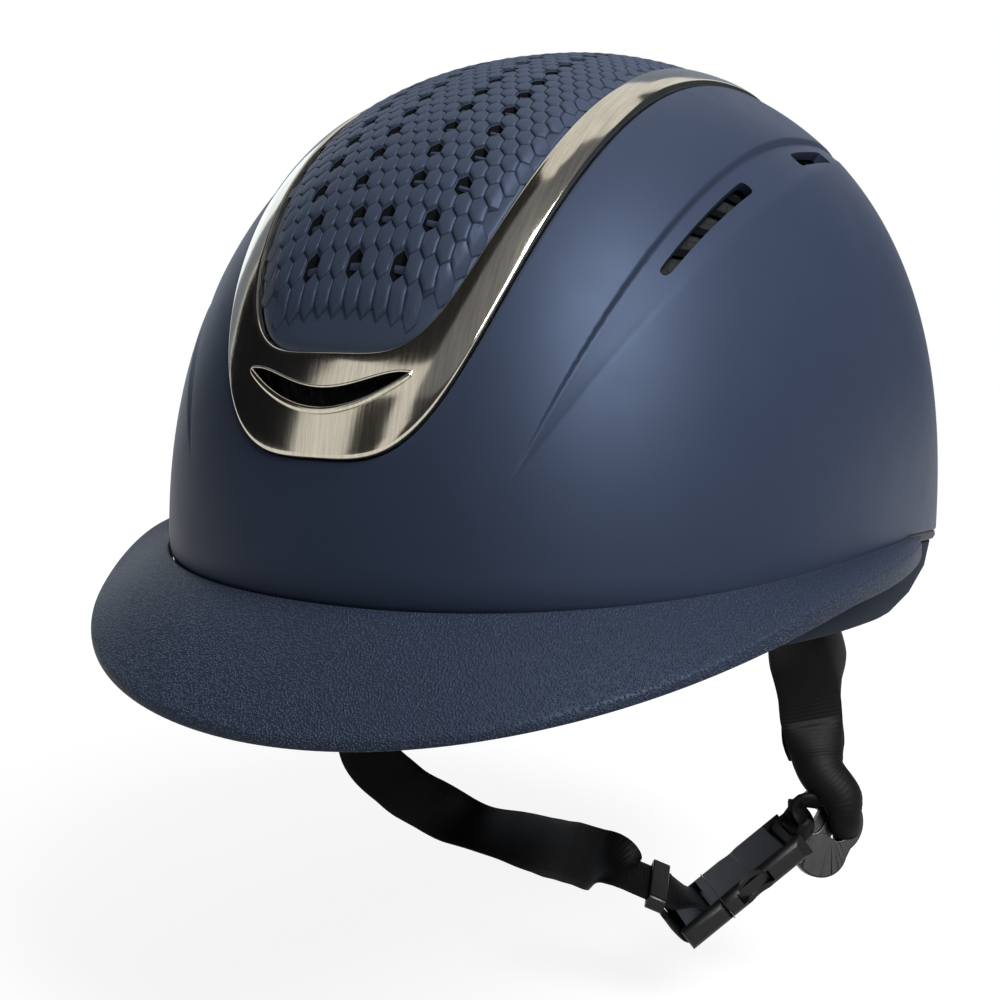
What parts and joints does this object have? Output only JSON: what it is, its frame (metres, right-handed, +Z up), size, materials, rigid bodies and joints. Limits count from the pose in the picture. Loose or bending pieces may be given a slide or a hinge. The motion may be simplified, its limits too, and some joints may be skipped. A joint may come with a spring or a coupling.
{
  "type": "riding helmet",
  "caption": "Riding helmet with a wide curved peak, a framed honeycomb crown panel with air holes, side air channels, a padded foam lining and a chin harness with a side-release buckle.",
  "frame": {"origin": "centre of the level ring, the widest ring of the shell, where the wearer's head sits", "axes": "+Z up through the crown, +X to the wearer's left, +Y to the back, so the peak points to -Y"},
  "size_m": [0.2406, 0.3085, 0.2749],
  "materials": {
    "shell_matte": "fine matte navy, slightly pearly",
    "peak_skin": "pebbled navy leather look",
    "frame_metal": "dark bright-plated gunmetal",
    "edge_rubber": "matt black",
    "mesh_black": "black enamel",
    "foam": "moulded dark grey foam",
    "pad_cloth": "quilted dark navy knit",
    "hook_loop": "black hook-and-loop",
    "webbing": "black ribbed webbing",
    "buckle_plastic": "black moulded plastic, semi-gloss",
    "rivet_steel": "blackened steel"
  },
  "bodies": {
    "helmet": {"outer_shell": "shell_matte", "lower_shell": "shell_matte", "edging": "edge_rubber", "peak": "peak_skin", "crown_panel": "shell_matte", "panel_frame": "frame_metal", "intake_mesh": "mesh_black", "vent_mesh_left": "mesh_black", "vent_mesh_right": "mesh_black", "foam_liner": "foam", "brow_pad": "pad_cloth", "nape_pad": "pad_cloth", "crown_pad": "pad_cloth", "hook_spots": "hook_loop", "anchor_left_front": "buckle_plastic", "anchor_left_back": "buckle_plastic", "anchor_right_front": "buckle_plastic", "anchor_right_back": "buckle_plastic", "anchor_rivets": "rivet_steel", "strap_left_front": "webbing", "strap_left_back": "webbing", "strap_right_back": "webbing", "chin_strap": "webbing", "divider": "buckle_plastic", "socket_loop": "webbing", "buckle_socket": "buckle_plastic"},
    "plug": {"buckle_plug": "buckle_plastic"},
    "prong_a": {"prong_upper": "buckle_plastic"},
    "prong_b": {"prong_lower": "buckle_plastic"},
    "keeper": {"strap_keeper": "buckle_plastic"}
  },
  "joints": [
    {"name": "plug_pull", "type": "slide", "parent": "helmet", "child": "plug", "axis": [-0.5945, -0.501, -0.6289], "range_m": [0, 0.024], "deforming": ["chin_strap"]},
    {"name": "prong_a_squeeze", "type": "hinge", "parent": "plug", "child": "prong_a", "pos_m": [0.05923, -0.00913, -0.11087], "axis": [-0.5094, -0.3705, 0.7767], "range_deg": [-7, 0], "stiffness_Nm_per_rad": 0.02},
    {"name": "prong_b_squeeze", "type": "hinge", "parent": "plug", "child": "prong_b", "pos_m": [0.07055, -0.02337, -0.11024], "axis": [-0.5094, -0.3705, 0.7767], "range_deg": [0, 7], "stiffness_Nm_per_rad": 0.02},
    {"name": "keeper_slide", "type": "slide", "parent": "helmet", "child": "keeper", "axis": [0.8501, 0.4026, -0.3395], "range_m": [-0.0055, 0]}
  ],
  "couplings": [
    {"joint": "prong_b_squeeze", "follows": "prong_a_squeeze", "ratio": -1}
  ]
}
